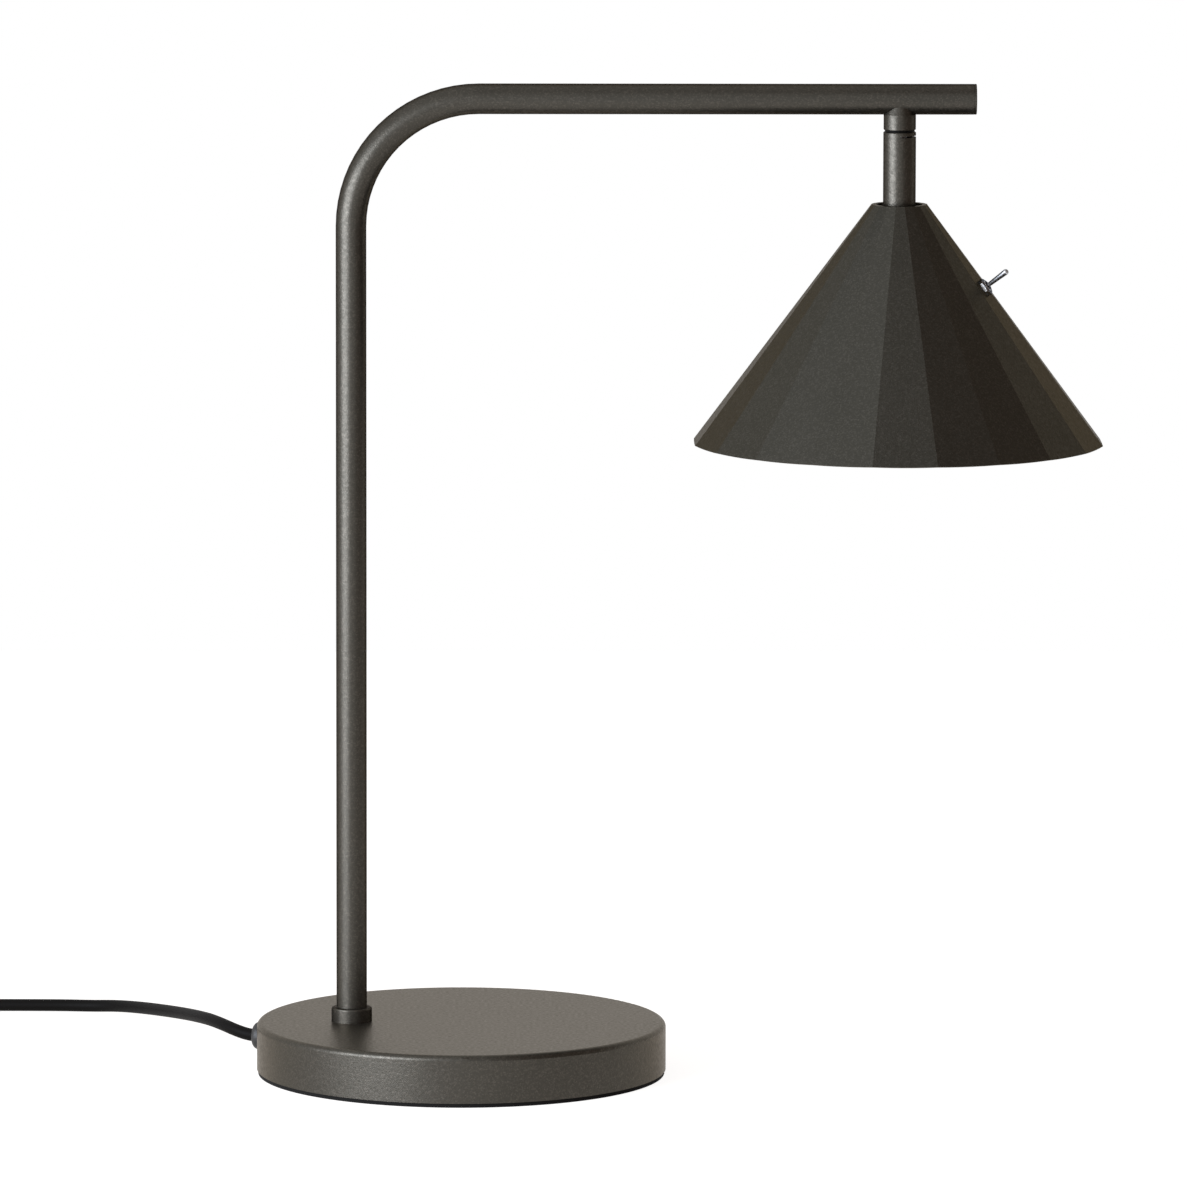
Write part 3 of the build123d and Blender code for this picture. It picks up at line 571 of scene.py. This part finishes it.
class Paintbox:
    """Builds each slot's finish once and hands out its material."""

    def __init__(self) -> None:
        """Start with no materials."""
        self.made: dict[str, bpy.types.Material] = {}

    def material(self, slot: Slot) -> bpy.types.Material:
        """Give the material of a slot, built when it is first asked for.

        Args:
            slot: the record's material slot.

        Returns:
            The slot's one material.
        """
        if slot.name not in self.made:
            self.made[slot.name] = slot.value.build()
        return self.made[slot.name]

    def dress(self, piece: bpy.types.Object, slot: Slot) -> None:
        """Give a piece the one material of a slot."""
        piece.data.materials.clear()
        piece.data.materials.append(self.material(slot))

    def dress_nodes(self) -> None:
        """Give every carried-over node the finish that its slot names, or its own make of it."""
        for entry in frame["record"]["subparts"]:
            node = frame["nodes"][entry["node"]]
            self.dress(node, Slot[entry["material_slot"]])
            if entry["node"] in OWN_MAKES:
                node.data.materials[0] = OWN_MAKES[entry["node"]].build()
            log.info("dressed %s in %s", entry["node"], entry["material_slot"])


@dataclass
class MainsCord:
    """The mains cord as one smooth line: out of the gland, along the table, coiled, and up to its plug."""

    diameter: float = 6.2 * MM
    length: float = 1.8
    exit_height: float = 12.2 * MM
    gland_azimuth: float = 161.5
    gland_end: float = 108.7 * MM
    straight: float = 3.6 * MM
    table: float = 3.15 * MM
    coil_radius: float = 48.0 * MM
    coil_pitch: float = 6.75 * MM
    coil_turns: int = 3
    points_in_half_turn: int = 8
    plug_height: float = 18.204 * MM
    ring_steps: int = 5
    line_steps: int = 6

    def outward(self) -> Vector:
        """The level way out of the gland, one metre long."""
        turn = math.radians(self.gland_azimuth)
        return Vector((math.cos(turn), math.sin(turn), 0.0))

    def exit(self) -> Vector:
        """The point where the cord leaves the gland."""
        return self.outward() * self.gland_end + Vector((0.0, 0.0, self.exit_height))

    def points_from(self, start: Vector, offsets: tuple[Place, ...]) -> list[Vector]:
        """Turn a listed route into points.

        Args:
            start: the point that the route is measured from.
            offsets: millimetres along +X and +Y from the start, and the height above the table.

        Returns:
            The points, in metres.
        """
        return [
            Vector((start.x + along * MM, start.y + away * MM, height * MM))
            for along, away, height in offsets
        ]

    def run(self) -> list[Vector]:
        """Lay out the route from the gland to the coil.

        Returns:
            The route's points, in metres.
        """
        first = self.outward() * (self.straight / MM)
        flat = self.table / MM
        offsets = (
            (0.0, 0.0, self.exit_height / MM),
            (first.x, first.y, 12.5),
            (-9.5, 4.6, 14.1),
            (-15.6, 12.2, 15.5),
            (-22.0, 24.5, 15.8),
            (-27.4, 37.5, 14.9),
            (-32.4, 51.0, 13.6),
            (-39.2, 68.7, 11.7),
            (-47.4, 87.0, 9.7),
            (-55.9, 104.0, 7.8),
            (-64.5, 118.8, 6.1),
            (-73.6, 130.0, 4.7),
            (-84.5, 136.8, 3.45),
            (-98.5, 140.2, 3.2),
            (-118.0, 141.0, flat),
            (-140.0, 141.1, flat),
            (-165.0, 141.0, flat),
            (-189.5, 141.0, flat),
        )
        return self.points_from(self.exit(), offsets)

    def coil_middle(self) -> Vector:
        """The middle of the coil, at the height of its lower turns."""
        return self.run()[-1] + Vector((-self.diameter, self.coil_radius, 0.0))

    def coil(self, start: Vector) -> tuple[list[Vector], Vector]:
        """Wind the coil: in on the table, up a layer, and out again on top.

        Args:
            start: the last point of the run.

        Returns:
            Points for the line, set a little outside the turns because it cuts inside its points, and the
            point that the lead to the plug starts from.
        """
        centre = self.coil_middle()
        step = math.pi / self.points_in_half_turn
        points = [start + Vector((-self.diameter, 0.0, 0.0)) / 2]
        place, side, level = self.coil_radius, 1, self.table
        for half_turn in range(4 * self.coil_turns):
            steps_in = 2 * self.coil_turns - abs(half_turn - 2 * self.coil_turns)
            radius = self.coil_radius - steps_in * self.coil_pitch / 2
            middle = place - side * radius
            climb = self.coil_pitch if half_turn == 2 * self.coil_turns else 0.0
            for index in range(self.points_in_half_turn):
                turn = (index + 0.5) * step
                along = middle + side * radius * math.cos(turn) / math.cos(step / 2)
                across = side * radius * math.sin(turn) / math.cos(step / 2)
                height = level + climb * (1 - math.cos(turn)) / 2
                points.append(Vector((centre.x - across, centre.y - along, height)))
            level += climb
            place = middle - side * radius
            side = -side
        return points, Vector((centre.x - self.diameter, centre.y - place, level))

    def lead(self, start: Vector) -> list[Vector]:
        """Lay out the route from the coil up to the back of the plug.

        Args:
            start: the point that the lead starts from.

        Returns:
            The route's points, in metres.
        """
        coil_top = start.z / MM
        plug = self.plug_height / MM
        offsets = (
            (0.0, 0.0, coil_top),
            (-14.0, 0.0, coil_top),
            (-29.0, 0.4, 11.4),
            (-44.0, 1.0, 14.6),
            (-59.0, 1.4, 17.4),
            (-73.0, 1.5, plug),
            (-86.0, 1.5, plug),
        )
        return self.points_from(start, offsets)

    def build(self, paints: Paintbox) -> bpy.types.Object:
        """Lay the cord.

        Args:
            paints: where the finish comes from.

        Returns:
            The cord, a round curve that stands for its solids.
        """
        run = self.run()
        coil, coil_end = self.coil(run[-1])
        points = run + coil + self.lead(coil_end)
        curve = bpy.data.curves.new("mains_cord", "CURVE")
        curve.dimensions = "3D"
        curve.bevel_depth = self.diameter / 2
        curve.bevel_resolution = self.ring_steps
        curve.resolution_u = self.line_steps
        curve.use_fill_caps = True
        spline = curve.splines.new("NURBS")
        spline.points.add(len(points) - 1)
        for point, place in zip(spline.points, points):
            point.co = (*place, 1.0)
        spline.order_u = QUADRATIC
        spline.use_endpoint_u = True
        cord = bpy.data.objects.new("mains_cord", curve)
        bpy.context.scene.collection.objects.link(cord)
        paints.dress(cord, Slot.cord_sheath)
        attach(cord, "stand")
        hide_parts("cord_run", "cord_coil", "cord_lead")
        return cord


def clear_selection() -> None:
    """Deselect everything, so that the next operator acts on the new piece alone."""
    bpy.ops.object.select_all(action="DESELECT")


def pick(piece: bpy.types.Object, chosen: Callable[[Vector], bool]) -> None:
    """Select the points of a piece that is in edit mode, and what lies between them.

    Args:
        piece: the piece.
        chosen: tells from a point's place whether it is selected.
    """
    mesh = bmesh.from_edit_mesh(piece.data)
    for part in (*mesh.faces, *mesh.edges):
        part.select_set(False)
    for point in mesh.verts:
        point.select_set(chosen(point.co))
    mesh.select_flush(True)
    bmesh.update_edit_mesh(piece.data)


def finish_with(piece: bpy.types.Object, kind: str, **settings: object) -> None:
    """Add a modifier to a piece and apply it.

    Args:
        piece: the piece.
        kind: the modifier's type.
        settings: the modifier's own settings.
    """
    modifier = piece.modifiers.new(kind.lower(), kind)
    for name, value in settings.items():
        setattr(modifier, name, value)
    clear_selection()
    piece.select_set(True)
    bpy.context.view_layer.objects.active = piece
    bpy.ops.object.modifier_apply(modifier=modifier.name)


@dataclass
class CoilTie:
    """Strap that holds the coil: once round the turns, with its free end lapped over on top."""

    half_width: float = 10.0 * MM
    low: float = 0.55 * MM
    high: float = 13.1 * MM
    corner: float = 3.2 * MM
    corner_steps: int = 6
    width: float = 8.0 * MM
    thickness: float = 0.5 * MM
    start: float = -1.0 * MM
    rise: float = 2.0 * MM
    lift: float = 0.5 * MM
    edge: float = 0.1 * MM
    edge_steps: int = 2

    def path(self) -> list[tuple[float, float]]:
        """Trace the strap's line, seen along the cord.

        Returns:
            Places across the turns and above the table, from the hidden end round to the free end.
        """
        straight = self.half_width - self.corner
        middles = (
            (-straight, self.high - self.corner, 90.0),
            (-straight, self.low + self.corner, 180.0),
            (straight, self.low + self.corner, 270.0),
            (straight, self.high - self.corner, 0.0),
        )
        points = [(self.start, self.high)]
        for across, above, first in middles:
            for step in range(self.corner_steps + 1):
                turn = math.radians(first + 90.0 * step / self.corner_steps)
                points.append((across + self.corner * math.cos(turn), above + self.corner * math.sin(turn)))
        over = self.high + self.thickness + self.edge
        points.append((self.start + self.rise, self.high))
        points.append((self.start, over))
        points.append((-straight, over))
        points.append((-straight - self.rise, over + self.lift))
        return points

    def build(self, route: MainsCord) -> bpy.types.Object:
        """Wrap the strap round the coil's turns on the side towards the lamp.

        Args:
            route: the cord that the strap holds.

        Returns:
            The tie.
        """
        path = self.path()
        step = path[1][0] - path[0][0]
        coil_middle = route.coil_middle()
        turns_middle = coil_middle.x + route.coil_radius - route.coil_turns * route.coil_pitch / 2
        clear_selection()
        bpy.ops.mesh.primitive_plane_add(size=1.0)
        strap = bpy.context.active_object
        strap.name = strap.data.name = "cord_tie"
        strap.scale = (abs(step), self.width, 1.0)
        strap.location = (
            turns_middle + path[0][0] + step / 2,
            coil_middle.y + route.coil_pitch / 2,
            path[0][1],
        )
        bpy.ops.object.transform_apply(location=True, rotation=True, scale=True)
        bpy.ops.object.mode_set(mode="EDIT")
        far = turns_middle + path[1][0]
        pick(strap, lambda place: place.x < far + abs(step) / 2)
        for (across, above), (next_across, next_above) in zip(path[1:], path[2:]):
            bpy.ops.mesh.extrude_region_move(
                TRANSFORM_OT_translate={"value": (next_across - across, 0.0, next_above - above)}
            )
        bpy.ops.object.mode_set(mode="OBJECT")
        finish_with(strap, "SOLIDIFY", thickness=self.thickness, offset=1.0)
        finish_with(strap, "BEVEL", width=self.edge, segments=self.edge_steps, limit_method="ANGLE")
        clear_selection()
        strap.select_set(True)
        bpy.ops.object.shade_smooth_by_angle()
        strap.data.materials.clear()
        strap.data.materials.append(STRAP_WEAVE.build())
        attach(strap, "stand")
        return strap


@dataclass(frozen=True)
class Panel:
    """A flat lamp or card of the studio: where its middle hangs, and its width and height, in metres."""

    name: str
    place: Place
    size: tuple[float, float]
    aim: Place = (0.06, 0.0, 0.25)

    def turn(self) -> Euler:
        """The turn that faces the panel towards its aim, the middle of the desk lamp."""
        return (Vector(self.aim) - Vector(self.place)).to_track_quat("-Z", "Y").to_euler()


@dataclass
class Studio:
    """Pale floor, white surroundings, a soft lamp, two dim cards and the photograph's camera."""

    # Fitted to the photograph's outlines, in metres, radians and the photograph's pixels.
    camera_place: Place = (0.01697, -5.5, 0.97766)
    pan: float = 0.0087
    pitch: float = 0.13362
    roll: float = 0.0019
    focal_pixels: float = 11299.7
    sensor_mm: float = 36.0
    view_depth: float = 100.0
    floor_size: float = 3.0
    floor_lift: float = 0.9
    floor_drop: float = 0.2 * MM
    floor_colour: str = "#b6aea6"
    ambient: float = 0.34
    key: Panel = Panel("key_softbox", place=(-1.05, -0.92, 0.42), size=(1.15, 0.84))
    key_watts: float = 34.0
    key_colour: str = "#eaf2ff"
    upper_flag: Panel = Panel("upper_flag", place=(0.98, -0.25, 1.22), size=(1.9, 1.9))
    side_flag: Panel = Panel("side_flag", place=(1.15, -0.6, 0.5), size=(1.8, 1.0))
    flag_colour: str = "#94857a"

    def camera(self) -> None:
        """Place the camera and make it the scene's own."""
        forward = Vector(
            (
                math.sin(self.pan) * math.cos(self.pitch),
                math.cos(self.pan) * math.cos(self.pitch),
                -math.sin(self.pitch),
            )
        )
        level = Vector((math.cos(self.pan), -math.sin(self.pan), 0.0))
        up = level.cross(forward)
        right = math.cos(self.roll) * level + math.sin(self.roll) * up
        crown = -math.sin(self.roll) * level + math.cos(self.roll) * up
        data = bpy.data.cameras.new("photo_camera")
        data.sensor_width = self.sensor_mm
        data.lens = self.focal_pixels / PHOTO_PIXELS * self.sensor_mm
        data.clip_end = self.view_depth
        camera = bpy.data.objects.new("photo_camera", data)
        bpy.context.scene.collection.objects.link(camera)
        turn = Matrix((right, crown, -forward)).transposed().to_4x4()
        camera.matrix_world = Matrix.Translation(self.camera_place) @ turn
        bpy.context.scene.camera = camera

    def seen_ray(self, tree: Tree) -> Socket:
        """Tell the rays that show the background: straight from the camera, mirrored or through glass.

        Args:
            tree: the node tree that takes the nodes.

        Returns:
            A socket that is 1 for such a ray and 0 for any other.
        """
        path = add_node(tree, "LightPath")
        mirrored = add_node(
            tree,
            "Math",
            {"operation": "ADD"},
            n0=path.outputs["Is Camera Ray"],
            n1=path.outputs["Is Glossy Ray"],
        )
        total = add_node(
            tree,
            "Math",
            {"operation": "ADD", "use_clamp": True},
            n0=mirrored.outputs[0],
            n1=path.outputs["Is Transmission Ray"],
        )
        return total.outputs[0]

    def world(self) -> None:
        """White surroundings to the eye, a plain soft level of light on the lamp."""
        world = bpy.data.worlds.new("studio")
        bpy.context.scene.world = world
        world.use_nodes = True
        tree = world.node_tree
        tree.nodes.clear()
        soft = add_node(tree, "Background", Color=linear(WHITE), Strength=self.ambient)
        white = add_node(tree, "Background", Color=linear(WHITE), Strength=1.0)
        both = add_node(
            tree,
            "MixShader",
            n0=self.seen_ray(tree),
            n1=soft.outputs[0],
            n2=white.outputs[0],
        )
        add_node(tree, "OutputWorld", Surface=both.outputs[0])

    def floor(self) -> None:
        """Lay a pale floor that reads white to the eye, keeps the lamp's shadow and is clear from below."""
        clear_selection()
        bpy.ops.mesh.primitive_plane_add(size=self.floor_size, location=(0.0, 0.0, -self.floor_drop))
        floor = bpy.context.active_object
        floor.name = "studio_floor"
        material, tree, surface = new_material("pale_floor")
        matt = add_node(tree, "BsdfDiffuse", Color=linear(self.floor_colour))
        lift = add_node(tree, "Emission", Color=linear(WHITE), Strength=self.floor_lift)
        lifted = add_node(tree, "AddShader", n0=matt.outputs[0], n1=lift.outputs[0])
        both = add_node(
            tree,
            "MixShader",
            n0=self.seen_ray(tree),
            n1=matt.outputs[0],
            n2=lifted.outputs[0],
        )
        clear = add_node(tree, "BsdfTransparent")
        under = add_node(tree, "NewGeometry").outputs["Backfacing"]
        shown = add_node(tree, "MixShader", n0=under, n1=both.outputs[0], n2=clear.outputs[0])
        tree.links.new(shown.outputs[0], surface)
        floor.data.materials.append(material)

    def lamp(self, panel: Panel, watts: float, colour: str) -> None:
        """Hang a soft lamp.

        Args:
            panel: the lamp's name, place and size.
            watts: its power.
            colour: its light, as sRGB hex.
        """
        data = bpy.data.lights.new(panel.name, "AREA")
        data.shape = "RECTANGLE"
        data.size, data.size_y = panel.size
        data.energy = watts
        data.color = linear(colour)[:3]
        lamp = bpy.data.objects.new(panel.name, data)
        bpy.context.scene.collection.objects.link(lamp)
        lamp.location = panel.place
        lamp.rotation_euler = panel.turn()
        lamp.visible_camera = False

    def flag(self, panel: Panel) -> None:
        """Hang a dim card out of the picture, so that bright and dark sides part as in a studio.

        Args:
            panel: the card's name, place and size.
        """
        clear_selection()
        bpy.ops.mesh.primitive_plane_add(size=1.0)
        card = bpy.context.active_object
        card.name = panel.name
        card.scale = (*panel.size, 1.0)
        card.location = panel.place
        card.rotation_euler = panel.turn()
        card.visible_camera = False
        material, tree, surface = new_material("dim_card")
        dim = add_node(tree, "Emission", Color=linear(self.flag_colour), Strength=1.0)
        tree.links.new(dim.outputs[0], surface)
        card.data.materials.append(material)

    def build(self) -> None:
        """Set the colour view, then the floor, the world, the lamp, the cards and the camera."""
        bpy.context.scene.view_settings.view_transform = "Standard"
        self.floor()
        self.world()
        self.lamp(self.key, self.key_watts, self.key_colour)
        self.flag(self.upper_flag)
        self.flag(self.side_flag)
        self.camera()


def main() -> None:
    """Dress the lamp, lay its cord and light the studio."""
    logging.basicConfig(level=logging.INFO, format="%(name)s: %(message)s")
    paints = Paintbox()
    paints.dress_nodes()
    route = MainsCord()
    cord = route.build(paints)
    tie = CoilTie().build(route)
    log.info("laid %s, held by %s", cord.name, tie.name)
    Studio().build()


if __name__ == "__main__":
    main()
